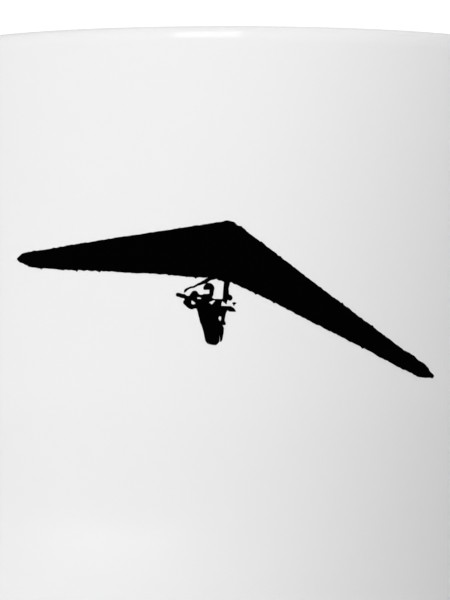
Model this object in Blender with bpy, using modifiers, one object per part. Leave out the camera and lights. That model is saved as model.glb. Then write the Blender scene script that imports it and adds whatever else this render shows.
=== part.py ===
"""A white glazed ceramic mug with a black figure printed on its front.

Units are metres and +Z is up. The mug stands on z = 0, its handle points to +X and its print faces -Y.
The origin is the middle of the footprint's box, so the cup's own axis lies half the handle's reach
towards -X from it.
"""
import math

import bmesh
import bpy

MM = 0.001

# The cup, a straight cylinder that holds about 0.33 litre
CUP_RADIUS = 41.0 * MM
CUP_HEIGHT = 95.0 * MM
WALL = 4.4 * MM
FLOOR_TOP = 7.0 * MM
INNER_FILLET = 7.0 * MM
FACETS = 96

# The underside: a rounded heel, a flat ring to stand on, and a shallow recess inside it
HEEL_HEIGHT = 4.5 * MM
FOOT_OUTER = 36.4 * MM
FOOT_INNER = 32.5 * MM
RECESS_DEPTH = 1.2 * MM
RECESS_SLOPE = 1.0 * MM

# The handle, an oval strap in the plane y = 0
HANDLE_REACH = 33.0 * MM
HANDLE_THICKNESS = 8.4 * MM
HANDLE_WIDTH = 12.4 * MM
HANDLE_TOP_ROOT = 79.0 * MM
HANDLE_LOW_ROOT = 21.0 * MM
ROOT_DEPTH = 2.0 * MM
JOINT_GAP = 0.3 * MM

# The print, a film wrapped round the wall
PRINT_MIDDLE = 58.3 * MM
PRINT_GAP = 0.3 * MM
PRINT_THICKNESS = 0.2 * MM

# The printed sail in the flat artwork, in mm: across from the mug's front line, and up from the
# print's middle. First the leading edges, from the left tip over the nose to the right tip.
SAIL_LEFT_TIP = ((-31.4, 5.45), (-31.9, 5.85), (-31.3, 6.35), (-30.6, 6.6), (-28.8, 6.85))
SAIL_NOSE = ((-12.0, 8.85), (-4.0, 10.0), (-0.8, 10.5), (0.3, 10.5), (0.9, 10.15), (1.9, 9.55))
SAIL_RIGHT_TIP = (
    (12.0, 2.03), (18.0, -2.13), (24.8, -6.45), (26.4, -7.1), (28.9, -8.6), (29.5, -9.2),
    (30.4, -10.0), (30.1, -10.3), (27.4, -10.12),
)

# The trailing edge, and the upright with its knob and the wire that hang below the keel
SAIL_TRAILING_RIGHT = ((20.0, -6.96), (9.0, -1.7), (5.0, 0.27), (0.7, 2.2), (0.1, 2.4))
UPRIGHT_RIGHT = ((-0.1, 1.35), (-0.05, 0.7))
KNOB_CENTRE = (0.07, 0.39)
KNOB_RADIUS = 0.33
UPRIGHT_LEFT = ((-0.34, -0.3), (-0.46, -0.55), (-0.87, -0.05), (-0.64, 2.45), (-1.7, 2.8), (-2.1, 2.85))
WIRE = ((-2.75, 2.75), (-4.3, 2.05), (-6.0, 1.25), (-5.9, 1.5), (-2.7, 3.05))
SAIL_TRAILING_LEFT = (
    (-6.5, 3.28), (-11.0, 3.66), (-15.2, 3.92), (-20.0, 4.13), (-25.0, 4.38), (-28.9, 4.65), (-30.2, 5.05),
)

# The printed flyer below the sail: control bar, arms and shoulders, then the bag round the legs
FLYER_LEFT = (
    (-4.18, -1.5), (-4.33, -1.1), (-5.1, -1.18), (-5.6, -0.9), (-6.14, -0.36), (-5.97, 0.2),
    (-6.75, 0.49), (-7.12, 0.6), (-7.12, 0.9), (-6.0, 0.8), (-5.35, 0.55), (-4.84, 1.2),
    (-4.42, 1.25), (-3.95, 0.72), (-3.2, 0.8),
)
HELMET_CENTRE = (-2.74, 1.56)
HELMET_RADIUS = 0.66
HELMET_STEPS = 12
FLYER_RIGHT = (
    (-2.1, 0.3), (-0.93, 0.12), (-1.07, -0.72), (0.22, -0.8), (0.85, -1.48), (-0.26, -1.4),
    (-0.5, -1.75), (-0.65, -2.7), (-0.5, -3.25), (-0.85, -3.4), (-0.75, -4.2), (-1.1, -5.5),
    (-1.7, -5.94), (-2.3, -5.94), (-2.95, -5.75), (-3.25, -5.1), (-3.6, -3.5),
)

GLAZE_COLOUR = (0.84, 0.84, 0.83, 1.0)
INK_COLOUR = (0.006, 0.006, 0.006, 1.0)


def clear_scene():
    for thing in list(bpy.data.objects):
        bpy.data.objects.remove(thing, do_unlink=True)


def new_collection(name):
    collection = bpy.data.collections.new(name)
    bpy.context.scene.collection.children.link(collection)
    return collection


def new_material(name, colour, roughness):
    material = bpy.data.materials.new(name)
    material.use_nodes = True
    shader = material.node_tree.nodes["Principled BSDF"]
    shader.inputs["Base Color"].default_value = colour
    shader.inputs["Roughness"].default_value = roughness
    shader.inputs["Metallic"].default_value = 0.0
    return material


def arc(centre, radii, start, end, steps):
    """Points of an oval arc from start to end, in degrees."""
    points = []
    for step in range(steps + 1):
        angle = math.radians(start + (end - start) * step / steps)
        points.append((centre[0] + radii[0] * math.cos(angle), centre[1] + radii[1] * math.sin(angle)))
    return points


def place(thing, axis, collection, material):
    collection.objects.link(thing)
    thing.parent = axis
    thing.data.materials.append(material)


def smooth(mesh):
    mesh.shade_smooth()
    mesh.set_sharp_from_angle(angle=math.radians(35))


def mesh_from_curve(curve, name):
    """The curve as a closed mesh, with its caps joined to its sides."""
    holder = bpy.data.objects.new(name + "_curve", curve)
    bpy.context.scene.collection.objects.link(holder)
    bpy.context.view_layer.update()
    mesh = bpy.data.meshes.new_from_object(holder.evaluated_get(bpy.context.evaluated_depsgraph_get()))
    mesh.name = name
    bpy.data.objects.remove(holder, do_unlink=True)
    welded = bmesh.new()
    welded.from_mesh(mesh)
    bmesh.ops.remove_doubles(welded, verts=welded.verts, dist=0.001 * MM)
    welded.to_mesh(mesh)
    welded.free()
    return mesh


def cup_profile():
    """From the middle of the floor inside, up over the lip, down the outside and under the foot."""
    inner = CUP_RADIUS - WALL
    lip = WALL / 2
    profile = [(0.0, FLOOR_TOP)]
    profile += arc((inner - INNER_FILLET, FLOOR_TOP + INNER_FILLET), (INNER_FILLET, INNER_FILLET), -90, 0, 6)
    profile += arc((CUP_RADIUS - lip, CUP_HEIGHT - lip), (lip, lip), 180, 0, 12)
    profile += arc((FOOT_OUTER, HEEL_HEIGHT), (CUP_RADIUS - FOOT_OUTER, HEEL_HEIGHT), 0, -90, 6)
    profile += [(FOOT_INNER, 0.0), (FOOT_INNER - RECESS_SLOPE, RECESS_DEPTH), (0.0, RECESS_DEPTH)]
    return profile


def make_body(axis, collection, material):
    mesh = bpy.data.meshes.new("body")
    outline = bmesh.new()
    corners = [outline.verts.new((radius, 0.0, height)) for radius, height in cup_profile()]
    for first, second in zip(corners, corners[1:]):
        outline.edges.new((first, second))
    outline.to_mesh(mesh)
    outline.free()
    body = bpy.data.objects.new("body", mesh)
    place(body, axis, collection, material)
    turn = body.modifiers.new("turn", "SCREW")
    turn.axis = "Z"
    turn.steps = FACETS
    turn.render_steps = FACETS
    turn.use_merge_vertices = True
    turn.merge_threshold = 0.01 * MM
    turn.use_smooth_shade = True


def handle_route():
    """Reach from the wall, height, heading in degrees, pull and relative thickness at each point."""
    middle = HANDLE_REACH - HANDLE_THICKNESS / 2
    rise = HANDLE_TOP_ROOT - HANDLE_LOW_ROOT
    return (
        (-ROOT_DEPTH, HANDLE_TOP_ROOT - 0.003 * rise, 6, 0.03 * rise, 1.9),
        (0.04 * middle, HANDLE_TOP_ROOT + 0.004 * rise, 7, 0.03 * rise, 1.19),
        (0.22 * middle, HANDLE_TOP_ROOT + 0.013 * rise, 3, 0.05 * rise, 1.05),
        (0.50 * middle, HANDLE_TOP_ROOT + 0.006 * rise, -9, 0.12 * rise, 1.0),
        (middle, HANDLE_LOW_ROOT + 0.66 * rise, -90, 0.22 * rise, 1.0),
        (0.60 * middle, HANDLE_LOW_ROOT + 0.165 * rise, -138, 0.14 * rise, 0.95),
        (0.22 * middle, HANDLE_LOW_ROOT + 0.019 * rise, -154, 0.05 * rise, 1.06),
        (0.04 * middle, HANDLE_LOW_ROOT - 0.011 * rise, -169, 0.03 * rise, 1.19),
        (-ROOT_DEPTH, HANDLE_LOW_ROOT - 0.019 * rise, -175, 0.03 * rise, 1.85),
    )


def handle_curve():
    curve = bpy.data.curves.new("handle", "CURVE")
    curve.dimensions = "3D"
    curve.fill_mode = "FULL"
    curve.bevel_depth = HANDLE_THICKNESS / 2
    curve.bevel_resolution = 6
    curve.use_fill_caps = True
    curve.resolution_u = 6
    route = handle_route()
    spline = curve.splines.new("BEZIER")
    spline.radius_interpolation = "CARDINAL"
    spline.bezier_points.add(len(route) - 1)
    for point, (reach, height, heading, pull, thickness) in zip(spline.bezier_points, route):
        along = pull * math.cos(math.radians(heading))
        up = pull * math.sin(math.radians(heading))
        x = CUP_RADIUS + reach
        point.co = (x, 0.0, height)
        point.handle_left_type = "FREE"
        point.handle_right_type = "FREE"
        point.handle_left = (x - along, 0.0, height - up)
        point.handle_right = (x + along, 0.0, height + up)
        point.radius = thickness
    return curve


def make_wall_cutter(axis, collection):
    """The cup's outside and its joint gap, which shapes the ends of the handle."""
    bpy.ops.mesh.primitive_cylinder_add(
        vertices=FACETS, radius=CUP_RADIUS + JOINT_GAP, depth=CUP_HEIGHT,
        location=(0.0, 0.0, CUP_HEIGHT / 2),
    )
    cutter = bpy.context.object
    cutter.name = "wall_cutter"
    for owner in list(cutter.users_collection):
        owner.objects.unlink(cutter)
    collection.objects.link(cutter)
    cutter.parent = axis
    cutter.hide_render = True
    cutter.display_type = "WIRE"
    return cutter


def make_handle(axis, collection, material, cutter):
    mesh = mesh_from_curve(handle_curve(), "handle")
    broaden = HANDLE_WIDTH / HANDLE_THICKNESS
    for vertex in mesh.vertices:
        vertex.co.y *= broaden
    smooth(mesh)
    handle = bpy.data.objects.new("handle", mesh)
    place(handle, axis, collection, material)
    cut = handle.modifiers.new("wall", "BOOLEAN")
    cut.operation = "DIFFERENCE"
    cut.solver = "EXACT"
    cut.object = cutter


def flat_film(outline, name):
    curve = bpy.data.curves.new(name, "CURVE")
    curve.dimensions = "2D"
    curve.fill_mode = "BOTH"
    curve.extrude = PRINT_THICKNESS / 2
    spline = curve.splines.new("POLY")
    spline.points.add(len(outline) - 1)
    for point, (across, up) in zip(spline.points, outline):
        point.co = (across * MM, up * MM, 0.0, 1.0)
    spline.use_cyclic_u = True
    return mesh_from_curve(curve, name)


def wrap_round_wall(mesh):
    """Bend the flat film round the cup, folding it where the cup's own facets meet."""
    film = bmesh.new()
    film.from_mesh(mesh)
    facet = math.tau * CUP_RADIUS / FACETS
    for fold in range(-FACETS // 4, FACETS // 4 + 1):
        everything = film.verts[:] + film.edges[:] + film.faces[:]
        bmesh.ops.bisect_plane(
            film, geom=everything, dist=0.001 * MM, plane_co=(fold * facet, 0.0, 0.0), plane_no=(1.0, 0.0, 0.0)
        )
    bmesh.ops.triangulate(film, faces=film.faces[:])
    for vertex in film.verts:
        angle = vertex.co.x / CUP_RADIUS
        radius = CUP_RADIUS + PRINT_GAP + PRINT_THICKNESS / 2 + vertex.co.z
        height = PRINT_MIDDLE + vertex.co.y
        vertex.co = (radius * math.sin(angle), -radius * math.cos(angle), height)
    film.to_mesh(mesh)
    film.free()


def make_print(name, outline, axis, collection, material):
    mesh = flat_film(outline, name)
    wrap_round_wall(mesh)
    place(bpy.data.objects.new(name, mesh), axis, collection, material)


def sail_outline():
    leading_edge = SAIL_LEFT_TIP + SAIL_NOSE + SAIL_RIGHT_TIP
    knob = arc(KNOB_CENTRE, (KNOB_RADIUS, KNOB_RADIUS), 80, -140, 8)
    below_keel = list(UPRIGHT_RIGHT) + knob + list(UPRIGHT_LEFT + WIRE)
    return list(leading_edge + SAIL_TRAILING_RIGHT) + below_keel + list(SAIL_TRAILING_LEFT)


def flyer_outline():
    helmet = arc(HELMET_CENTRE, (HELMET_RADIUS, HELMET_RADIUS), 230, -50, HELMET_STEPS)
    return list(FLYER_LEFT) + helmet + list(FLYER_RIGHT)


def main():
    clear_scene()
    mug = new_collection("printed_mug")
    cutters = new_collection("cutters")
    axis = bpy.data.objects.new("cup_axis", None)
    mug.objects.link(axis)
    axis.location = (-HANDLE_REACH / 2, 0.0, 0.0)
    make_body(axis, mug, new_material("body_glaze", GLAZE_COLOUR, 0.08))
    make_handle(axis, mug, new_material("handle_glaze", GLAZE_COLOUR, 0.08), make_wall_cutter(axis, cutters))
    make_print("print_sail", sail_outline(), axis, mug, new_material("sail_ink", INK_COLOUR, 0.5))
    make_print("print_flyer", flyer_outline(), axis, mug, new_material("flyer_ink", INK_COLOUR, 0.5))


main()
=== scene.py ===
# %% [markdown]
# A white glazed mug, seen close up from the front.
#
# The photograph looks at the side of a glossy white mug from below its rim. A plain black figure, a
# hang glider with its flyer, is printed on the wall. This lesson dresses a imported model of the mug:
# it turns the cup, sticks on the handle, prints the figure, glazes the clay and lights the set. Every
# length is in metres, the mug stands on z = 0, its print faces -Y and its handle points to +X.

# %% Open the frame
import math

import bmesh
import bpy
from mathutils import Euler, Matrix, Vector, noise
from mathutils.geometry import interpolate_bezier


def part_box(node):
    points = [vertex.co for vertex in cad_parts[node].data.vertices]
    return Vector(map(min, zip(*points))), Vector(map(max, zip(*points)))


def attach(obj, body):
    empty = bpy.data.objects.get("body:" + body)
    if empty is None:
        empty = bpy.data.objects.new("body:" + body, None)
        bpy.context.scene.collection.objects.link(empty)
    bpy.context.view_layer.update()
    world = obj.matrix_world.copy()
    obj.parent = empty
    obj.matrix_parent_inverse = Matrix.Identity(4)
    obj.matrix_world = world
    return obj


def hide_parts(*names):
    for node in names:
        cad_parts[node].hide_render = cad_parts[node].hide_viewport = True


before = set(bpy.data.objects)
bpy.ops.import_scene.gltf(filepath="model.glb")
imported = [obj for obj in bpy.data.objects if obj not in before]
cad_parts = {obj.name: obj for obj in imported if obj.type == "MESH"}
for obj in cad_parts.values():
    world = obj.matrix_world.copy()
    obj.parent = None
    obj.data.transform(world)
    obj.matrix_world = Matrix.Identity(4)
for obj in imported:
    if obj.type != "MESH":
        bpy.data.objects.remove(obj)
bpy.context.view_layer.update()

print("packed nodes", sorted(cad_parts))

# %% [markdown]
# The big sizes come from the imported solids, so the looks can't drift away from them. The rest are the
# maker's own sizes: how thick the wall is, how wide the foot ring is, how round each corner is.

# %% Read the sizes
MM = 0.001
cup_low, cup_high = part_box("body")
handle_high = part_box("handle")[1]

CUP_RADIUS = (cup_high.y - cup_low.y) / 2
CUP_HEIGHT = cup_high.z
CUP_X = (cup_low.x + cup_high.x) / 2
WALL = 4.4 * MM
FLOOR_TOP = 7.0 * MM
INNER_FILLET = 7.0 * MM
HEEL_ROUND = 4.5 * MM
FOOT_OUTER = 36.4 * MM
FOOT_INNER = 32.5 * MM
RECESS_DEPTH = 1.2 * MM
RECESS_SLOPE = 1.0 * MM
print("cup", round(2 * CUP_RADIUS / MM, 2), "mm across and", round(CUP_HEIGHT / MM, 2), "mm high")

# %% [markdown]
# Each piece starts as a bmesh and ends as an object at the origin, with its place in its mesh. This
# helper makes that step once. It also merges doubles and turns the faces outwards.

# %% A helper that turns a bmesh into a piece
MERGE_DISTANCE = 0.0005 * MM

def make_piece(name, shape, smooth_angle=35):
    """Clean a bmesh, turn it into an object at the origin and shade it smooth."""
    bmesh.ops.remove_doubles(shape, verts=shape.verts[:], dist=MERGE_DISTANCE)
    bmesh.ops.recalc_face_normals(shape, faces=shape.faces[:])
    mesh = bpy.data.meshes.new(name)
    shape.to_mesh(mesh)
    shape.free()
    mesh.shade_smooth()
    mesh.set_sharp_from_angle(angle=math.radians(smooth_angle))
    piece = bpy.data.objects.new(name, mesh)
    bpy.context.scene.collection.objects.link(piece)
    print(name, len(mesh.polygons), "faces")
    return piece

# %% [markdown]
# Two shapes of the mug start as a drawn line: the cup's section and the printed figure. Both are
# written as a few corners, each with the length to round off, and a vertex bevel turns every corner
# into an arc. A curve object could do this too, but a bevelled wire stays in the bmesh all the way.

# %% Draw a line with rounded corners
def add_corners(shape, corners, place, closed=False):
    """Join corners into a wire. Each corner is a spot in the drawing and the length to round off."""
    spots = [shape.verts.new(place(corner[0], corner[1])) for corner in corners]
    for first, second in zip(spots, spots[1:]):
        shape.edges.new((first, second))
    if closed:
        shape.edges.new((spots[-1], spots[0]))
    return spots

def round_corners(shape, spots, corners, scale, segments):
    """Bevel every corner that has a rounding."""
    for spot, corner in zip(spots, corners):
        if corner[2]:
            bmesh.ops.bevel(
                shape, geom=[spot], offset=corner[2] * scale, offset_type="OFFSET", affect="VERTICES",
                segments=segments, profile=0.5, material=-1, clamp_overlap=True,
            )

# %% [markdown]
# The cup is made on a jigger: clay spins in a mould while a template gives it its section. The code
# works the same way. One full spin of the template about the cup's axis makes the whole wall. A
# lathe profile was chosen over insets on a cylinder because each rounding stays one number in a list.
# The foot ring stands a hair below the glaze, which ends in a small step all round it. The lip's two
# roundings are each a hair under half the wall, so that their ends don't meet.

# %% The template
GLAZE_STEP = 0.2 * MM
FOOT_ROUND = 0.1 * MM
RECESS_ROUND = 0.5 * MM
LIP_ROUND = 0.497 * WALL

def cup_template():
    """Radius, height and rounding of each corner, from the inside floor over the lip to the recess."""
    inner = CUP_RADIUS - WALL
    return (
        (0.0, FLOOR_TOP, 0.0),
        (inner, FLOOR_TOP, INNER_FILLET),
        (inner, CUP_HEIGHT, LIP_ROUND),
        (CUP_RADIUS, CUP_HEIGHT, LIP_ROUND),
        (CUP_RADIUS, GLAZE_STEP, HEEL_ROUND),
        (FOOT_OUTER, GLAZE_STEP, FOOT_ROUND),
        (FOOT_OUTER - GLAZE_STEP, 0.0, FOOT_ROUND),
        (FOOT_INNER + GLAZE_STEP, 0.0, FOOT_ROUND),
        (FOOT_INNER, GLAZE_STEP, FOOT_ROUND),
        (FOOT_INNER - RECESS_SLOPE, RECESS_DEPTH, RECESS_ROUND),
        (0.0, RECESS_DEPTH, 0.0),
    )

cup = bmesh.new()
template_spots = add_corners(cup, cup_template(), lambda radius, height: (CUP_X + radius, 0.0, height))
round_corners(cup, template_spots, cup_template(), scale=1.0, segments=12)
print("template points after rounding:", len(cup.verts))

# %% [markdown]
# Smooth shading blends the normals at both ends of a face. A wall face that ran from the heel to the
# lip in one piece would smear the lip's turn over the whole wall, so the template is cut across just
# beside each rounding, and then at even heights.

# %% Cut the straight stretches and spin the cup
CUP_STEPS = 256
HOLD = 0.35 * MM
WALL_CUTS = 20
FLOOR_CUTS = (20 * MM, 8 * MM)
CUT_TOLERANCE = 0.0001 * MM

def cut_across(shape, place, direction):
    """Cut all of a bmesh by a plane, and keep both sides."""
    everything = shape.verts[:] + shape.edges[:] + shape.faces[:]
    bmesh.ops.bisect_plane(shape, geom=everything, dist=CUT_TOLERANCE, plane_co=place, plane_no=direction)

wall_top = CUP_HEIGHT - WALL / 2 - HOLD
wall_bottom = GLAZE_STEP + HEEL_ROUND + HOLD
for cut in range(WALL_CUTS + 1):
    cut_height = wall_bottom + (wall_top - wall_bottom) * cut / WALL_CUTS
    cut_across(cup, (0.0, 0.0, cut_height), (0.0, 0.0, 1.0))
cut_across(cup, (0.0, 0.0, FLOOR_TOP + INNER_FILLET + HOLD), (0.0, 0.0, 1.0))
beside_fillet = CUP_RADIUS - WALL - INNER_FILLET - HOLD
beside_recess = FOOT_INNER - 2 * RECESS_SLOPE - HOLD
for cut_radius in (beside_fillet, beside_recess) + FLOOR_CUTS:
    cut_across(cup, (CUP_X + cut_radius, 0.0, 0.0), (1.0, 0.0, 0.0))
bmesh.ops.spin(
    cup, geom=cup.verts[:] + cup.edges[:], cent=(CUP_X, 0.0, 0.0), axis=(0.0, 0.0, 1.0),
    angle=math.tau, steps=CUP_STEPS, use_merge=True,
)
cup_piece = make_piece("cup_body", cup)

# %% [markdown]
# The handle is an oval strap, cast in two halves of a mould and stuck on with slip. Its middle
# follows one smooth route with five knots. Each knot has a reach from the wall, a height, a heading,
# a pull as long as a curve handle, and a thickness against the strap's own.

# %% The handle's route
HANDLE_REACH = handle_high.x - cup_high.x
HANDLE_THICKNESS = 8.4 * MM
HANDLE_WIDTH = 12.4 * MM
HANDLE_TOP_ROOT = 79.0 * MM
HANDLE_LOW_ROOT = 21.0 * MM
ROOT_DEPTH = 2.6 * MM

def handle_route():
    """Reach from the wall, height, heading in degrees, pull and relative thickness at each knot."""
    middle = HANDLE_REACH - HANDLE_THICKNESS / 2
    rise = HANDLE_TOP_ROOT - HANDLE_LOW_ROOT
    return (
        (-ROOT_DEPTH, HANDLE_TOP_ROOT - 0.004 * rise, 5, 0.08 * rise, 1.14),
        (0.50 * middle, HANDLE_TOP_ROOT + 0.006 * rise, -9, 0.13 * rise, 1.0),
        (middle, HANDLE_LOW_ROOT + 0.66 * rise, -90, 0.22 * rise, 1.0),
        (0.60 * middle, HANDLE_LOW_ROOT + 0.165 * rise, -138, 0.15 * rise, 0.95),
        (-ROOT_DEPTH, HANDLE_LOW_ROOT - 0.02 * rise, -176, 0.16 * rise, 1.12),
    )

def fine_route(steps=48):
    """Close points along the route, each with its relative thickness."""
    knots = []
    for reach, height, heading, pull, thickness in handle_route():
        spot = Vector((CUP_X + CUP_RADIUS + reach, 0.0, height))
        arm = Vector((math.cos(math.radians(heading)), 0.0, math.sin(math.radians(heading)))) * pull
        knots.append((spot - arm, spot, spot + arm, thickness))
    points = []
    for here, there in zip(knots, knots[1:]):
        curve = interpolate_bezier(here[1], here[2], there[0], there[1], steps + 1)
        for step, point in enumerate(curve[:-1]):
            share = step / steps
            ease = share * share * (3 - 2 * share)
            points.append((point, here[3] + (there[3] - here[3]) * ease))
    points.append((knots[-1][1], knots[-1][3]))
    return points

route_points = fine_route()
route_length = sum((b[0] - a[0]).length for a, b in zip(route_points, route_points[1:]))
print("handle route", round(route_length / MM, 1), "mm long")

# %% [markdown]
# Square to the route the strap is an oval, a little flatter on the side of the fingers. A section
# holds what is needed to find any spot on the strap's skin: its centre, its outward side, its size.

# %% The strap's oval sections
RING_POINTS = 48
INSIDE_FLATTENING = 0.86

def strap_sections(points):
    """Centre, outward direction and relative thickness at every point of the route."""
    sections = []
    for index, (centre, thickness) in enumerate(points):
        before = points[max(index - 1, 0)][0]
        after = points[min(index + 1, len(points) - 1)][0]
        along = (after - before).normalized()
        sections.append((centre, along.cross(Vector((0.0, 1.0, 0.0))), thickness))
    return sections

def skin_spot(section, turn):
    """A spot on the strap's skin, at an angle round its oval."""
    centre, outward, thickness = section
    rise = math.sin(turn) * HANDLE_THICKNESS / 2
    if rise < 0:
        rise *= INSIDE_FLATTENING
    across = Vector((0.0, math.cos(turn) * HANDLE_WIDTH / 2, 0.0))
    return centre + (outward * rise + across) * thickness

RING_TURNS = [math.tau * point / RING_POINTS for point in range(RING_POINTS)]
sections = strap_sections(route_points)

# %% [markdown]
# Where the strap meets the wall, the slip is wiped to a soft fillet. It could be a bevel on a boolean
# union, but a union of a round wall and an oval strap gives ragged faces there. Here every line along
# the strap is led down to the wall instead, by a small curve that touches the strap at its start and
# the wall at its end.

# %% Lead the strap down to the wall
FILLET = 2.6 * MM
FILLET_STEPS = 8
HIDDEN_DEPTH = 0.5 * MM

def wall_gap(spot):
    """How far a spot is from the cup's outer wall, negative inside it."""
    return math.hypot(spot.x - CUP_X, spot.y) - CUP_RADIUS

def off_the_wall(spot, gap):
    """The spot, moved straight away from the cup's axis until it stands a given gap off the wall."""
    away = Vector((spot.x - CUP_X, spot.y, 0.0)).normalized() * (CUP_RADIUS + gap)
    return Vector((CUP_X + away.x, away.y, spot.z))

def reach_gap(ordered, turn, gap):
    """Follow one line of the strap from inside the wall, to where it stands a given gap off it."""
    last = skin_spot(ordered[0], turn)
    for section in ordered[1:]:
        here = skin_spot(section, turn)
        if wall_gap(here) >= gap:
            return last.lerp(here, (gap - wall_gap(last)) / (wall_gap(here) - wall_gap(last)))
        last = here

def fillet_rings(ordered):
    """Rings of spots from the strap down to the wall, and one more just inside it."""
    corners = [reach_gap(ordered, turn, 0.0) for turn in RING_TURNS]
    middle = sum(corners, Vector()) / RING_POINTS
    rings = [[] for _ in range(FILLET_STEPS + 2)]
    for turn, corner in zip(RING_TURNS, corners):
        straight_out = Vector((corner.x - CUP_X, corner.y, 0.0)).normalized()
        sideways = corner - middle
        sideways = (sideways - straight_out * sideways.dot(straight_out)).normalized()
        high = reach_gap(ordered, turn, FILLET)
        low = corner + sideways * FILLET
        for step in range(FILLET_STEPS + 1):
            share = step / FILLET_STEPS
            spot = high * (1 - share) ** 2 + corner * 2 * share * (1 - share) + low * share ** 2
            rings[step].append(off_the_wall(spot, FILLET * (1 - share) ** 2))
        rings[-1].append(off_the_wall(low, -HIDDEN_DEPTH))
    return rings

top_root = fillet_rings(sections)
low_root = fillet_rings(sections[::-1])
root_width = max(spot.y for spot in top_root[-2]) - min(spot.y for spot in top_root[-2])
print("handle root", round(root_width / MM, 1), "mm wide on the wall")

# %% [markdown]
# Rings of the same count of points are now bridged one to the next, from root to root.

# %% Bridge the rings
GRIP_SPACING = 1.2 * MM
ROOT_MARGIN = 1.4 * MM

def grip_rings():
    """Evenly spaced sections between the two fillets."""
    rings = []
    since_ring = GRIP_SPACING
    for index, section in enumerate(sections):
        since_ring += (section[0] - sections[max(index - 1, 0)][0]).length
        if since_ring >= GRIP_SPACING and wall_gap(section[0]) > FILLET + ROOT_MARGIN:
            rings.append([skin_spot(section, turn) for turn in RING_TURNS])
            since_ring = 0.0
    return rings

def add_ring(shape, spots, capped):
    """Add a circle, move its corners to the spots and give back its edges."""
    circle = bmesh.ops.create_circle(shape, cap_ends=capped, segments=RING_POINTS, radius=HANDLE_WIDTH / 2)
    for corner, spot in zip(circle["verts"], spots):
        corner.co = spot
    return list({edge for corner in circle["verts"] for edge in corner.link_edges})

strap = bmesh.new()
all_rings = top_root[::-1] + grip_rings() + low_root
previous = add_ring(strap, all_rings[0], capped=True)
for number, spots in enumerate(all_rings[1:], start=2):
    edges = add_ring(strap, spots, capped=number == len(all_rings))
    bmesh.ops.bridge_loops(strap, edges=previous + edges)
    previous = edges
print("handle rings", len(all_rings))
handle_piece = make_piece("handle_strap", strap, smooth_angle=50)

# %% [markdown]
# The figure is printed on a flat transfer sheet and wrapped round the mug. Its outlines are drawn
# in the sheet's own millimetres: across from the mug's front line, up from the sheet's middle, and
# how much of each corner is rounded off. The sail has long straight edges and round tips.

# %% The printed sail's edges
PRINT_MIDDLE = 58.3 * MM
LEADING_LEFT = (
    (-31.9, 5.85, 0.2), (-30.75, 6.57, 0.3), (-29.9, 6.64, 0.3), (-29.0, 6.85, 0.5), (-26.8, 6.97, 0.5),
    (-19.7, 7.87, 0.0), (-12.0, 8.83, 0.0), (-4.0, 9.99, 0.0), (-0.6, 10.53, 0.5),
)
LEADING_RIGHT = (
    (0.55, 10.5, 0.3), (1.1, 10.0, 0.1), (1.6, 9.83, 0.1), (2.05, 9.38, 0.1), (5.0, 7.15, 0.0),
    (8.0, 4.94, 0.0), (11.0, 2.69, 0.0), (13.0, 1.27, 0.0), (18.0, -2.14, 0.0), (21.0, -4.1, 0.0),
    (24.9, -6.53, 0.2), (26.4, -7.13, 0.5), (27.5, -7.85, 0.3), (28.95, -8.62, 0.3), (29.5, -9.2, 0.2),
)
TRAILING_RIGHT = (
    (30.42, -10.05, 0.15), (30.2, -10.3, 0.15), (29.4, -10.27, 0.3), (27.35, -10.12, 0.1),
    (26.9, -9.86, 0.1), (24.0, -8.79, 0.0), (20.0, -6.96, 0.0), (15.0, -4.69, 0.0), (11.0, -2.81, 0.0),
    (9.0, -1.8, 0.0), (5.0, 0.23, 0.0), (0.7, 2.2, 0.2),
)
TRAILING_LEFT = (
    (-4.0, 3.06, 0.1), (-6.3, 3.22, 0.2), (-6.9, 3.31, 0.1), (-8.1, 3.39, 0.1), (-8.3, 3.5, 0.1),
    (-10.2, 3.56, 0.1), (-11.0, 3.65, 0.2), (-13.4, 3.69, 0.3), (-15.2, 3.86, 0.4), (-18.0, 4.0, 0.3),
    (-20.0, 4.12, 0.5), (-22.2, 4.15, 0.3), (-24.6, 4.29, 0.1), (-25.0, 4.4, 0.1), (-28.4, 4.56, 0.1),
    (-28.9, 4.7, 0.1), (-29.55, 4.74, 0.1), (-29.9, 4.93, 0.1), (-30.9, 5.25, 0.3), (-31.4, 5.38, 0.2),
)

# %% [markdown]
# An upright with a round knob and a slanting wire hang below the keel. The knob is an arc, so a
# short function gives its points.

# %% The upright and the wire
def arc(centre, radius, start, end, steps):
    """Corners along a round arc from start to end, in degrees, with nothing left to round off."""
    turns = [math.radians(start + (end - start) * step / steps) for step in range(steps + 1)]
    across, up = centre
    return tuple((across + radius * math.cos(turn), up + radius * math.sin(turn), 0.0) for turn in turns)

UPRIGHT_RIGHT = ((0.1, 2.46, 0.15), (-0.02, 2.0, 0.0), (-0.11, 1.35, 0.2), (-0.05, 0.8, 0.05))
KNOB = arc((0.07, 0.39), 0.33, 80, -140, 10)
UPRIGHT_LEFT = (
    (-0.21, 0.33, 0.02), (-0.34, -0.3, 0.1), (-0.46, -0.55, 0.05), (-0.87, -0.05, 0.1), (-0.82, 0.4, 0.0),
)
KEEL = (
    (-0.64, 2.4, 0.03), (-1.15, 2.66, 0.1), (-1.6, 2.72, 0.05), (-1.75, 2.85, 0.1), (-2.1, 2.84, 0.3),
    (-2.6, 2.62, 0.2),
)
WIRE = (
    (-2.95, 2.3, 0.05), (-3.4, 2.22, 0.1), (-4.4, 1.84, 0.2), (-5.4, 1.43, 0.2), (-5.85, 1.15, 0.05),
    (-6.05, 1.05, 0.08), (-6.0, 1.35, 0.1), (-5.6, 1.58, 0.3), (-4.2, 2.16, 0.3), (-3.1, 2.8, 0.3),
    (-2.68, 3.06, 0.03),
)

# %% [markdown]
# Small nubs stick out of both edges where the sail's battens end. They are put into the long edges
# by a helper, at chosen places across the sheet, so that the edges stay short lists.

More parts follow.
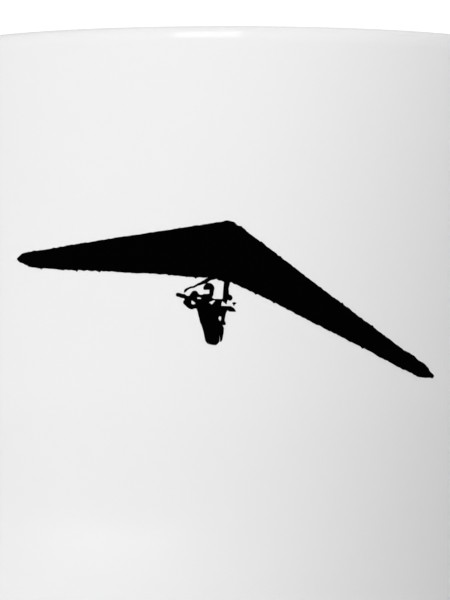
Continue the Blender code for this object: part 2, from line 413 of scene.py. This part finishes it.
# %% Nubs on the sail's edges
NUB_HEIGHT = 0.16
NUB_HALF_WIDTH = 0.2
LEADING_NUBS = (4.3, 15.5, 20.0)
TRAILING_NUBS = (-27.4, -21.4, -17.9, -5.7, -4.45, 3.5, 6.0, 18.4)

def with_nubs(run, places, height):
    """The run of corners, with a nub of a given height at each place that it passes."""
    corners = [run[0]]
    for start, end in zip(run, run[1:]):
        slope = (end[1] - start[1]) / (end[0] - start[0])
        direction = math.copysign(1.0, end[0] - start[0])
        passed = [place for place in places if min(start[0], end[0]) < place < max(start[0], end[0])]
        for place in sorted(passed, key=lambda across: across * direction):
            for step, lift in ((-NUB_HALF_WIDTH, 0.0), (0.0, height), (NUB_HALF_WIDTH, 0.0)):
                across = place + step * direction
                corners.append((across, start[1] + slope * (across - start[0]) + lift, 0.0))
        corners.append(end)
    return tuple(corners)

SAIL_OUTLINE = (
    LEADING_LEFT + with_nubs(LEADING_RIGHT, LEADING_NUBS, NUB_HEIGHT)
    + with_nubs(TRAILING_RIGHT, TRAILING_NUBS, -NUB_HEIGHT) + UPRIGHT_RIGHT + KNOB + UPRIGHT_LEFT
    + KEEL + WIRE + with_nubs(TRAILING_LEFT, TRAILING_NUBS, -NUB_HEIGHT)
)
print("sail outline has", len(SAIL_OUTLINE), "corners")

# %% [markdown]
# The flyer hangs below the sail in a long leg bag, with hands on the control bar. It is a plain
# black shape with a round helmet and no face. Its outline runs in four parts, each a short list of
# corners: the arms with the bar, the helmet as an arc, the shoulder with the other grip, the leg bag.

# %% The printed flyer's outline
ARM_AND_BAR = (
    (-4.18, -1.5, 0.1), (-4.33, -1.1, 0.1), (-4.6, -1.04, 0.1), (-4.85, -1.17, 0.1), (-5.15, -1.17, 0.15),
    (-5.6, -0.9, 0.15), (-6.15, -0.36, 0.15), (-6.13, -0.08, 0.1), (-5.96, 0.05, 0.05),
    (-5.97, 0.29, 0.08), (-6.4, 0.34, 0.1), (-6.75, 0.49, 0.1), (-7.12, 0.49, 0.22), (-7.12, 0.98, 0.22),
    (-6.7, 0.98, 0.2), (-6.3, 0.82, 0.1), (-6.0, 0.84, 0.1), (-5.7, 0.6, 0.1), (-5.4, 0.54, 0.12),
    (-5.28, 0.62, 0.05), (-4.84, 1.26, 0.15), (-4.42, 1.27, 0.15), (-3.98, 0.73, 0.12),
    (-3.54, 0.71, 0.03), (-3.44, 0.82, 0.03), (-2.62, 0.82, 0.06), (-2.62, 1.42, 0.08),
)
HELMET = arc((-2.72, 1.57), 0.72, 192, -15, 16)
SHOULDER_AND_GRIP = (
    (-2.12, 0.95, 0.1), (-2.13, 0.7, 0.0), (-2.3, 0.32, 0.05), (-2.02, 0.14, 0.05), (-0.92, 0.15, 0.1),
    (-0.93, -0.12, 0.1), (-1.08, -0.48, 0.1), (-1.08, -0.77, 0.05), (0.22, -0.8, 0.15),
    (0.62, -1.12, 0.1), (0.88, -1.51, 0.08), (0.02, -1.51, 0.08), (-0.26, -1.33, 0.05),
)
LEG_BAG = (
    (-0.5, -1.75, 0.2), (-0.67, -2.7, 0.1), (-0.5, -3.02, 0.05), (-0.5, -3.28, 0.1), (-0.93, -3.3, 0.02),
    (-0.72, -3.74, 0.1), (-0.8, -4.4, 0.2), (-0.97, -5.3, 0.1), (-1.12, -5.57, 0.05),
    (-1.19, -5.4, 0.02), (-1.27, -4.1, 0.01), (-1.34, -5.5, 0.02), (-1.7, -5.94, 0.15),
    (-2.25, -5.94, 0.2), (-2.9, -5.78, 0.2), (-3.2, -5.3, 0.2), (-3.36, -4.4, 0.2), (-3.6, -3.5, 0.2),
    (-3.8, -3.1, 0.2), (-4.02, -2.3, 0.3),
)
FLYER_OUTLINE = ARM_AND_BAR + HELMET + SHOULDER_AND_GRIP + LEG_BAG

# %% [markdown]
# Small gaps of bare glaze show between arms, bar and body, and a loose speck of ink lies beside the
# bar. Each is a closed outline of its own: the fill leaves a hole where one outline lies in another,
# and makes an island of one that lies outside.

# %% The gaps between arms and bar, and the speck
ELBOW_GAP = (
    (-5.08, -0.05, 0.06), (-4.87, -0.04, 0.05), (-4.5, -0.38, 0.06), (-4.55, -0.5, 0.05),
    (-4.85, -0.6, 0.08), (-5.07, -0.48, 0.06),
)
BAR_GAP = (
    (-4.29, 0.44, 0.05), (-3.95, 0.43, 0.05), (-3.69, 0.28, 0.05), (-3.73, 0.13, 0.04), (-4.29, 0.15, 0.05),
)
SHOULDER_GAP = (
    (-2.73, -0.28, 0.04), (-2.2, -0.06, 0.05), (-2.0, 0.04, 0.04), (-1.84, -0.12, 0.04),
    (-2.3, -0.63, 0.08),
)
STRAP_GAP = (
    (-1.38, -2.12, 0.06), (-1.07, -2.14, 0.08), (-1.07, -2.5, 0.05), (-1.24, -2.86, 0.05),
    (-1.49, -2.42, 0.06),
)
SPECK = (
    (0.37, -0.38, 0.05), (0.62, -0.25, 0.08), (0.95, -0.39, 0.05), (0.7, -0.52, 0.05),
    (0.6, -0.78, 0.04), (0.5, -0.52, 0.05),
)
print("flyer outline has", len(FLYER_OUTLINE), "corners")

# %% [markdown]
# The film is filled flat, gaps and all, and cut into narrow upright strips so that it can bend. Wet
# ink spreads a little and never ends in a perfect line, so each rim point moves outwards by a hair.
# Then two smooth noises, one long and one short, pull the whole film about. The long edges of the
# sail get more of the short one, up to a tenth of a millimetre, than the flyer's fine shapes. The
# noise is seeded, because Blender would otherwise print another rim in every session. Last, the film
# gets its thickness and is rolled round the wall.

# %% Fill the film and roll it round the wall
INK_THICKNESS = 0.02 * MM
INK_LIFT = 0.015 * MM
STRIPS_PER_FACE = 4
STRIP = math.tau * CUP_RADIUS / CUP_STEPS / STRIPS_PER_FACE
RIM_SEGMENTS = 4
INK_SPREAD = 0.03 * MM
CREEP = 0.03 * MM
CREEP_LENGTH = 1.6 * MM
SAIL_RAGGEDNESS = 0.105 * MM
FLYER_RAGGEDNESS = 0.03 * MM
RAGGED_LENGTH = 0.5 * MM
INK_SEED = 4

noise.seed_set(INK_SEED)

def way_out(spot):
    """The direction that leads out of the film, square to the rim at this spot."""
    outwards = Vector()
    for edge in spot.link_edges:
        if edge.is_boundary:
            start, end = (corner.co for corner in edge.verts)
            along = (end - start).normalized()
            inside = edge.link_faces[0].calc_center_median() - start
            outwards -= (inside - along * inside.dot(along)).normalized()
    return outwards.normalized()

def spread_ink(film, raggedness):
    """Move the film's rim outwards, then pull all of it about a little by smooth noise."""
    rim = [(spot, way_out(spot)) for spot in film.verts if spot.is_boundary]
    for spot, outwards in rim:
        spot.co += outwards * INK_SPREAD
    for spot in film.verts:
        pull = noise.noise_vector(spot.co / CREEP_LENGTH) * CREEP
        pull += noise.noise_vector(spot.co / RAGGED_LENGTH) * raggedness
        spot.co += Vector((pull.x, 0.0, pull.z))

def roll_round_wall(film):
    """Lay the flat film on the cup: across turns into an angle, depth into a radius."""
    deepest = max(spot.co.y for spot in film.verts)
    for spot in film.verts:
        angle = spot.co.x / CUP_RADIUS
        radius = CUP_RADIUS + INK_LIFT + deepest - spot.co.y
        height = PRINT_MIDDLE + spot.co.z
        spot.co = (CUP_X + radius * math.sin(angle), -radius * math.cos(angle), height)

def print_film(name, outlines, raggedness):
    """Make a printed piece from its closed outlines."""
    film = bmesh.new()
    for outline in outlines:
        spots = add_corners(film, outline, lambda across, up: (across * MM, 0.0, up * MM), closed=True)
        round_corners(film, spots, outline, scale=MM, segments=RIM_SEGMENTS)
    bmesh.ops.triangle_fill(film, edges=film.edges[:], use_beauty=True, normal=(0.0, -1.0, 0.0))
    strips = int(max(abs(spot.co.x) for spot in film.verts) / STRIP) + 1
    for strip in range(-strips, strips + 1):
        cut_across(film, (strip * STRIP, 0.0, 0.0), (1.0, 0.0, 0.0))
    for face in film.faces:
        if face.normal.y > 0:
            face.normal_flip()
    spread_ink(film, raggedness)
    bmesh.ops.solidify(film, geom=film.faces[:], thickness=INK_THICKNESS)
    roll_round_wall(film)
    return make_piece(name, film)

FLYER_OUTLINES = [FLYER_OUTLINE, ELBOW_GAP, BAR_GAP, SHOULDER_GAP, STRAP_GAP, SPECK]
sail_piece = print_film("sail_print", [SAIL_OUTLINE], SAIL_RAGGEDNESS)
flyer_piece = print_film("flyer_print", FLYER_OUTLINES, FLYER_RAGGEDNESS)

# %% [markdown]
# The finishes are built from shader nodes. Three small helpers keep that readable: one adds a node,
# one links a socket or sets a plain value on it, and one adds a sum.

# %% Helpers for shader nodes
NODE_STEP = 190

def add_node(tree, kind, **settings):
    """Add a node to the right of the last one, with its settings."""
    node = tree.nodes.new(kind)
    node.location = (NODE_STEP * len(tree.nodes), 0)
    for name, value in settings.items():
        setattr(node, name, value)
    return node

def plug(tree, source, socket):
    """Link a source socket, or set a plain value."""
    if isinstance(source, bpy.types.NodeSocket):
        tree.links.new(source, socket)
    else:
        socket.default_value = source

def calculate(tree, operation, *sources):
    """A Math node on sockets or numbers."""
    node = add_node(tree, "ShaderNodeMath", operation=operation)
    for source, socket in zip(sources, node.inputs):
        plug(tree, source, socket)
    return node.outputs["Value"]

# %% [markdown]
# A mask says where one look ends and the next begins. It is made with a soft step, since no edge on a
# fired pot is perfectly sharp, and a blend then picks between two tones or two numbers by it.

# %% Helpers for masks and blends
def fade(tree, value, start, end, from_value=0.0, to_value=1.0):
    """A soft step: from_value before start, to_value after end."""
    node = add_node(tree, "ShaderNodeMapRange", interpolation_type="SMOOTHSTEP")
    for name, source in (
        ("Value", value), ("From Min", start), ("From Max", end),
        ("To Min", from_value), ("To Max", to_value),
    ):
        plug(tree, source, node.inputs[name])
    return node.outputs["Result"]

def mix(tree, factor, first, second, kind="FLOAT"):
    """Blend two numbers, or two colours with kind RGBA."""
    node = add_node(tree, "ShaderNodeMix", data_type=kind)
    shown = {socket.name: socket for socket in node.inputs if socket.enabled}
    plug(tree, factor, shown["Factor"])
    plug(tree, first, shown["A"])
    plug(tree, second, shown["B"])
    return next(socket for socket in node.outputs if socket.enabled)

def grey(level, warmth=0.0):
    """A grey; warmth takes some green and twice as much blue out of it."""
    return (level, level * (1 - warmth), level * (1 - 2 * warmth), 1.0)

# %% [markdown]
# Two effects are used by more than one finish, so each is a node group with named inputs. Lengths
# and heights in them are in millimetres, because that is how a potter thinks of them. The first is
# the skin of a fired glaze: long shallow waves, a finer orange peel, slow clouds in its tone, and a
# few pinholes where gas came out of the clay.

# %% The glaze skin group
def new_group(group_name, inputs, outputs):
    """An empty node group with its sockets; inputs carry their starting values."""
    group = bpy.data.node_groups.new(group_name, "ShaderNodeTree")
    group.interface.new_socket("Vector", in_out="INPUT", socket_type="NodeSocketVector")
    for name, value in inputs.items():
        socket = group.interface.new_socket(name, in_out="INPUT", socket_type="NodeSocketFloat")
        socket.default_value = value
    for name in outputs:
        group.interface.new_socket(name, in_out="OUTPUT", socket_type="NodeSocketFloat")
    return group, add_node(group, "NodeGroupInput"), add_node(group, "NodeGroupOutput")

def noise_of_length(tree, vector, length, detail=2.0):
    """Smooth noise from 0 to 1, with features of a length in mm."""
    node = add_node(tree, "ShaderNodeTexNoise")
    plug(tree, vector, node.inputs["Vector"])
    plug(tree, calculate(tree, "DIVIDE", 1.0 / MM, length), node.inputs["Scale"])
    node.inputs["Detail"].default_value = detail
    return node.outputs["Fac"]

def swing(tree, value, depth):
    """A 0 to 1 pattern turned into heights from minus depth to plus depth."""
    return calculate(tree, "MULTIPLY", calculate(tree, "MULTIPLY_ADD", value, 2.0, -1.0), depth)

CLOUD_LENGTH = 45.0
PINHOLE_SPACING = 5.0
PINHOLE_SHARE = 0.12
PINHOLE_RADIUS = (0.05, 0.14)
PINHOLE_DEPTH = 0.03

glaze_skin, skin_in, skin_out = new_group(
    "glaze_skin",
    {"Wave Length": 14.0, "Wave Depth": 0.01, "Peel Length": 1.3, "Peel Depth": 0.001},
    ("Height", "Cloud", "Pinhole"),
)
where = skin_in.outputs["Vector"]
wave = noise_of_length(glaze_skin, where, skin_in.outputs["Wave Length"], detail=1.0)
peel = noise_of_length(glaze_skin, where, skin_in.outputs["Peel Length"])
cells = add_node(glaze_skin, "ShaderNodeTexVoronoi")
cells.inputs["Scale"].default_value = 1.0 / (PINHOLE_SPACING * MM)
plug(glaze_skin, where, cells.inputs["Vector"])
from_hole = calculate(glaze_skin, "MULTIPLY", cells.outputs["Distance"], PINHOLE_SPACING)
chance = add_node(glaze_skin, "ShaderNodeSeparateColor")
plug(glaze_skin, cells.outputs["Color"], chance.inputs["Color"])
chosen = calculate(glaze_skin, "LESS_THAN", chance.outputs["Red"], PINHOLE_SHARE)
inside_hole = fade(glaze_skin, from_hole, *PINHOLE_RADIUS, 1.0, 0.0)
pinhole = calculate(glaze_skin, "MULTIPLY", inside_hole, chosen)
relief = calculate(
    glaze_skin, "ADD",
    swing(glaze_skin, wave, skin_in.outputs["Wave Depth"]),
    swing(glaze_skin, peel, skin_in.outputs["Peel Depth"]),
)
relief = calculate(glaze_skin, "MULTIPLY_ADD", pinhole, -PINHOLE_DEPTH, relief)
plug(glaze_skin, relief, skin_out.inputs["Height"])
plug(glaze_skin, noise_of_length(glaze_skin, where, CLOUD_LENGTH), skin_out.inputs["Cloud"])
plug(glaze_skin, pinhole, skin_out.inputs["Pinhole"])
print("glaze skin group has", len(glaze_skin.nodes), "nodes")

# %% [markdown]
# The second group is a fine grain for everything matt: bare clay, ink and the table's paper. One
# noise gives both its height and a value that a finish can blend its tones by.

# %% The fine grain group
fine_grain, grain_in, grain_out = new_group(
    "fine_grain", {"Grain Length": 0.4, "Grain Depth": 0.01}, ("Height", "Value"),
)
where = grain_in.outputs["Vector"]
grains = noise_of_length(fine_grain, where, grain_in.outputs["Grain Length"], detail=3.0)
plug(fine_grain, swing(fine_grain, grains, grain_in.outputs["Grain Depth"]), grain_out.inputs["Height"])
plug(fine_grain, grains, grain_out.inputs["Value"])
print("fine grain group has", len(fine_grain.nodes), "nodes")

def place_group(tree, group, vector, **values):
    """Put a group into a material with its own values; a_b in a name stands for 'A B'."""
    node = add_node(tree, "ShaderNodeGroup", node_tree=group)
    plug(tree, vector, node.inputs["Vector"])
    for name, value in values.items():
        node.inputs[name.replace("_", " ").title()].default_value = value
    return node

# %% [markdown]
# Every finish starts the same way: a Principled shader, object coordinates centred on the cup's axis
# and a Bump node that reads heights in millimetres. What is the same all over, such as the strength
# of the ink's specular layer, is set straight on the shader.

# %% Start a finish
def start_finish(name):
    """The material, its nodes and shader, the centred coordinates and the bump's height socket."""
    finish = bpy.data.materials.new(name)
    finish.use_nodes = True
    tree = finish.node_tree
    shader = tree.nodes["Principled BSDF"]
    coordinates = add_node(tree, "ShaderNodeTexCoord")
    centred = add_node(tree, "ShaderNodeMapping")
    centred.inputs["Location"].default_value = (-CUP_X, 0.0, 0.0)
    tree.links.new(coordinates.outputs["Object"], centred.inputs["Vector"])
    bump = add_node(tree, "ShaderNodeBump")
    bump.inputs["Strength"].default_value = 1.0
    bump.inputs["Distance"].default_value = MM
    tree.links.new(bump.outputs["Normal"], shader.inputs["Normal"])
    return finish, tree, shader, centred.outputs["Vector"], bump.inputs["Height"]

def axis_distances(tree, vector):
    """A spot's depth, its height and how far it is from the cup's axis, in mm."""
    parts = add_node(tree, "ShaderNodeSeparateXYZ")
    plug(tree, vector, parts.inputs["Vector"])
    across, depth, height = (calculate(tree, "MULTIPLY", parts.outputs[axis], 1.0 / MM) for axis in "XYZ")
    across_squared, depth_squared = (calculate(tree, "POWER", side, 2.0) for side in (across, depth))
    return depth, height, calculate(tree, "SQRT", calculate(tree, "ADD", across_squared, depth_squared))

# %% [markdown]
# The cup's glaze is a clean white, clouded by less than the eye can name. It is wiped off the foot
# ring before firing, or the mug would weld itself to the kiln shelf, so the ring is bare clay: warmer,
# matt and grainy. The wiped line wanders a little, and the glaze is thin and faintly grey beside it.

# %% The cup's glaze and its bare foot
GLAZE_TONE = grey(0.866)
GLAZE_CLOUDED = grey(0.853)
GLAZE_THIN = grey(0.74, 0.02)
PINHOLE_TONE = grey(0.74, 0.03)
GLAZE_ROUGHNESS = (0.03, 0.055)
CLAY_LIGHT = grey(0.74, 0.04)
CLAY_DARK = grey(0.60, 0.06)
CLAY_ROUGHNESS = 0.85
LINE_WANDER = 0.5
WANDER_LENGTH = 6.0
LINE_SOFTNESS = 0.25
THIN_WIDTH = 0.8

cup_glaze, tree, shader, vector, height_socket = start_finish("cup_glaze")
skin = place_group(
    tree, glaze_skin, vector, wave_length=15.0, wave_depth=0.009, peel_length=1.4, peel_depth=0.0009,
)
clay = place_group(tree, fine_grain, vector, grain_length=0.5, grain_depth=0.02)
_, height, from_axis = axis_distances(tree, vector)
wander = swing(tree, noise_of_length(tree, vector, WANDER_LENGTH), LINE_WANDER)
past_line = calculate(tree, "SUBTRACT", calculate(tree, "SUBTRACT", from_axis, FOOT_OUTER / MM), wander)
outside_line = fade(tree, past_line, 0.0, LINE_SOFTNESS)
inside_line = fade(tree, from_axis, FOOT_INNER / MM - LINE_SOFTNESS, FOOT_INNER / MM, 1.0, 0.0)
above_foot = fade(tree, height, 0.5 * RECESS_DEPTH / MM, RECESS_DEPTH / MM)
glazed = calculate(tree, "MAXIMUM", calculate(tree, "MAXIMUM", outside_line, inside_line), above_foot)
thick = calculate(tree, "MAXIMUM", fade(tree, past_line, 0.0, THIN_WIDTH), above_foot)
thick = calculate(tree, "MAXIMUM", thick, inside_line)
tone = mix(tree, skin.outputs["Cloud"], GLAZE_TONE, GLAZE_CLOUDED, "RGBA")
tone = mix(tree, thick, GLAZE_THIN, tone, "RGBA")
tone = mix(tree, skin.outputs["Pinhole"], tone, PINHOLE_TONE, "RGBA")
clay_tone = mix(tree, clay.outputs["Value"], CLAY_DARK, CLAY_LIGHT, "RGBA")
plug(tree, mix(tree, glazed, clay_tone, tone, "RGBA"), shader.inputs["Base Color"])
roughness = mix(tree, skin.outputs["Cloud"], *GLAZE_ROUGHNESS)
plug(tree, mix(tree, glazed, CLAY_ROUGHNESS, roughness), shader.inputs["Roughness"])
plug(tree, mix(tree, glazed, clay.outputs["Height"], skin.outputs["Height"]), height_socket)

# %% [markdown]
# The handle has the same glaze with a little more wave in it. The two halves of its mould leave a
# faint seam along its middle, stronger in some places than in others. The glaze gathers in the
# fillets at its roots, where it looks a little darker and greener.

# %% The handle's glaze and its seam
SEAM_HALF_WIDTH = 0.5
SEAM_HEIGHT = 0.022
SEAM_PATCH_LENGTH = 7.0
GATHERED = (0.838, 0.845, 0.842, 1.0)

handle_glaze, tree, shader, vector, height_socket = start_finish("handle_glaze")
skin = place_group(
    tree, glaze_skin, vector, wave_length=9.0, wave_depth=0.011, peel_length=1.4, peel_depth=0.0009,
)
depth, _, from_axis = axis_distances(tree, vector)
seam = fade(tree, calculate(tree, "ABSOLUTE", depth), 0.0, SEAM_HALF_WIDTH, 1.0, 0.0)
seam = calculate(tree, "MULTIPLY", seam, noise_of_length(tree, vector, SEAM_PATCH_LENGTH))
at_root = fade(tree, from_axis, CUP_RADIUS / MM, (CUP_RADIUS + FILLET) / MM, 1.0, 0.0)
tone = mix(tree, skin.outputs["Cloud"], GLAZE_TONE, GLAZE_CLOUDED, "RGBA")
tone = mix(tree, at_root, tone, GATHERED, "RGBA")
tone = mix(tree, skin.outputs["Pinhole"], tone, PINHOLE_TONE, "RGBA")
plug(tree, tone, shader.inputs["Base Color"])
plug(tree, mix(tree, skin.outputs["Cloud"], *GLAZE_ROUGHNESS), shader.inputs["Roughness"])
plug(tree, calculate(tree, "MULTIPLY_ADD", seam, SEAM_HEIGHT, skin.outputs["Height"]), height_socket)

# %% [markdown]
# The ink is a dense black transfer, fired on so thinly that it has hardly any gloss of its own. It
# gets a fine grain in tone, gloss and height, and its specular layer is turned far down.

# %% The ink
INK_DEEP = grey(0.0001)
INK_WORN = grey(0.0007)
INK_ROUGHNESS = (0.5, 0.7)
INK_SPECULAR = 0.006

def make_ink(name, grain_length):
    """An ink finish; a finer print has the finer grain."""
    finish, tree, shader, vector, height_socket = start_finish(name)
    grain = place_group(tree, fine_grain, vector, grain_length=grain_length, grain_depth=0.004)
    plug(tree, mix(tree, grain.outputs["Value"], INK_DEEP, INK_WORN, "RGBA"), shader.inputs["Base Color"])
    plug(tree, mix(tree, grain.outputs["Value"], *INK_ROUGHNESS), shader.inputs["Roughness"])
    plug(tree, grain.outputs["Height"], height_socket)
    shader.inputs["Specular IOR Level"].default_value = INK_SPECULAR
    return finish

sail_ink = make_ink("sail_ink", grain_length=0.3)
flyer_ink = make_ink("flyer_ink", grain_length=0.22)
for piece, finish in (
    (cup_piece, cup_glaze), (handle_piece, handle_glaze),
    (sail_piece, sail_ink), (flyer_piece, flyer_ink),
):
    piece.data.materials.clear()
    piece.data.materials.append(finish)
    print(piece.name, "wears", finish.name, "with", len(finish.node_tree.nodes), "nodes")

# %% [markdown]
# The camera stands 0.7 m in front of the cup's axis, near half its height, and looks up by a degree
# or so. A long lens fills the frame with the wall, as the photograph does: the cup would be 580
# pixels wide in a frame that is only 450 wide.

# %% Camera
CAMERA_DISTANCE = 0.700
CAMERA_HEIGHT = 44.3 * MM
CAMERA_TILT = 1.2196
SENSOR = 36.0
CUP_WIDTH_PIXELS = 580.0
FRAME_HEIGHT_PIXELS = 600.0
AXIS_OFFSET_PIXELS = 4.0

focal_pixels = CUP_WIDTH_PIXELS / 2 / CUP_RADIUS * CAMERA_DISTANCE
camera_data = bpy.data.cameras.new("camera")
camera_data.sensor_width = SENSOR
camera_data.lens = focal_pixels / FRAME_HEIGHT_PIXELS * SENSOR
camera_data.clip_start = 0.01
camera = bpy.data.objects.new("camera", camera_data)
bpy.context.scene.collection.objects.link(camera)
camera_x = CUP_X - AXIS_OFFSET_PIXELS / focal_pixels * CAMERA_DISTANCE
camera.location = (camera_x, -CAMERA_DISTANCE, CAMERA_HEIGHT)
camera.rotation_euler = (math.radians(90 + CAMERA_TILT), 0.0, 0.0)
bpy.context.scene.camera = camera
print("lens", round(camera_data.lens, 1), "mm")

# %% [markdown]
# The mug stands on a sheet of white paper that runs off far behind it, under an even white sky. The
# sky lights the mug less than it shines itself, as a bright backdrop far behind a lit table does.
# What the glaze mirrors of it is as bright as the lit paper, so no horizon line shows on the wall.
# The paper has the same fine grain as other matt things, only coarser.

# %% The paper and the sky
PAPER_SIZE = 40.0
PAPER_LIGHT = grey(0.84)
PAPER_DARK = grey(0.80)
PAPER_ROUGHNESS = (0.6, 0.75)
SKY_LIGHT = 0.354
SKY_MIRRORED = 0.6
SKY_SEEN = 1.05

paper = bmesh.new()
bmesh.ops.create_grid(paper, x_segments=1, y_segments=1, size=PAPER_SIZE)
floor = make_piece("paper_floor", paper)
floor_finish, tree, shader, vector, height_socket = start_finish("pale_paper")
grain = place_group(tree, fine_grain, vector, grain_length=1.2, grain_depth=0.01)
plug(tree, mix(tree, grain.outputs["Value"], PAPER_DARK, PAPER_LIGHT, "RGBA"), shader.inputs["Base Color"])
plug(tree, mix(tree, grain.outputs["Value"], *PAPER_ROUGHNESS), shader.inputs["Roughness"])
plug(tree, grain.outputs["Height"], height_socket)
floor.data.materials.append(floor_finish)

world = bpy.data.worlds.new("white_sky")
bpy.context.scene.world = world
world.use_nodes = True
sky = world.node_tree.nodes["Background"]
sky.inputs["Color"].default_value = grey(1.0)
rays = add_node(world.node_tree, "ShaderNodeLightPath")
sky_strength = mix(world.node_tree, rays.outputs["Is Glossy Ray"], SKY_LIGHT, SKY_MIRRORED)
sky_strength = mix(world.node_tree, rays.outputs["Is Camera Ray"], sky_strength, SKY_SEEN)
plug(world.node_tree, sky_strength, sky.inputs["Strength"])
print("sky strengths: light", SKY_LIGHT, "mirrored", SKY_MIRRORED, "seen", SKY_SEEN)

# %% [markdown]
# The wall and the lip have almost the same tone in the photograph, so the front is lit from low
# round the sides and back up from the white paper. A wide lamp low on the left does most of that. It
# stands more than a metre off, so that the paper near the mug shows no hard edge of its light. A
# small one close to the upper right adds to it and lets the lower right fall off, and a faint one
# low in front fills the middle. A panel high behind the mug's left keeps the lip's top edge as
# bright as the wall. Those four are left out of reflections. The bright dash on the lip is the
# mirror image of a tall softbox, a little left of the middle, which in turn is left out of the soft
# light. It is swung aside and rolled, because the dash has a slight tilt and steep ends. Two slim
# strips behind the mug are only mirrored too. The photograph can't show them, but they draw the
# gloss along the handle and the far lip.

# %% The lamps
def add_lamp(name, azimuth, elevation, distance, size, radiance, only_reflected, turn=(0.0, 0.0, 0.0)):
    """A lamp round the cup; azimuth 0 is straight in front, minus is left.

    It is aimed at the middle of the cup, and then tipped, swung and rolled by the degrees in turn.
    """
    data = bpy.data.lights.new(name, "AREA")
    data.shape = "RECTANGLE"
    data.size = size[0]
    data.size_y = size[1]
    data.energy = radiance * math.pi * size[0] * size[1]
    lamp = bpy.data.objects.new(name, data)
    bpy.context.scene.collection.objects.link(lamp)
    target = Vector((CUP_X, 0.0, CUP_HEIGHT / 2))
    round_cup, lift = math.radians(azimuth), math.radians(elevation)
    level = math.cos(lift)
    away = Vector((math.sin(round_cup) * level, -math.cos(round_cup) * level, math.sin(lift)))
    lamp.location = target + away * distance
    turned = Euler([math.radians(angle) for angle in turn], "ZXY").to_quaternion()
    lamp.rotation_euler = (away.to_track_quat("Z", "Y") @ turned).to_euler()
    lamp.visible_camera = False
    lamp.visible_diffuse = not only_reflected
    lamp.visible_glossy = only_reflected
    print(name, "stands", round(distance, 2), "m away and gives", round(data.energy, 2), "W")

add_lamp("tall_softbox", -14.7, 60, 1.0, (0.4, 0.89), 2.35, only_reflected=True, turn=(20, 40, 24))
add_lamp("back_left_strip", -140, 19, 1.0, (0.10, 0.6), 3.0, only_reflected=True)
add_lamp("back_right_strip", 140, 19, 1.0, (0.10, 0.6), 3.0, only_reflected=True)
add_lamp("high_back_panel", -150, 60, 1.0, (0.8, 0.8), 1.39, only_reflected=False)
add_lamp("left_fill", -46, 15, 1.2, (1.1, 0.45), 4.86, only_reflected=False)
add_lamp("low_front_fill", 10, 15, 0.25, (0.15, 0.15), 0.33, only_reflected=False)
add_lamp("upper_right_fill", 40, 40, 0.2, (0.12, 0.12), 1.94, only_reflected=False)

# %% [markdown]
# The white of the photograph is a plain full white. The Standard view keeps it so, where a filmic one
# would grey it.

# %% The view
bpy.context.scene.view_settings.view_transform = "Standard"
print("view transform", bpy.context.scene.view_settings.view_transform)

# %% [markdown]
# The pieces are named for what they are and stand for the imported solids that they dress. Each is hung
# under the root, and its solid is hidden.

# %% Hand over
for piece, node, slot in (
    (cup_piece, "body", "body_glaze"),
    (handle_piece, "handle", "handle_glaze"),
    (sail_piece, "print_sail", "sail_ink"),
    (flyer_piece, "print_flyer", "flyer_ink"),
):
    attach(piece, "root")
    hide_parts(node)
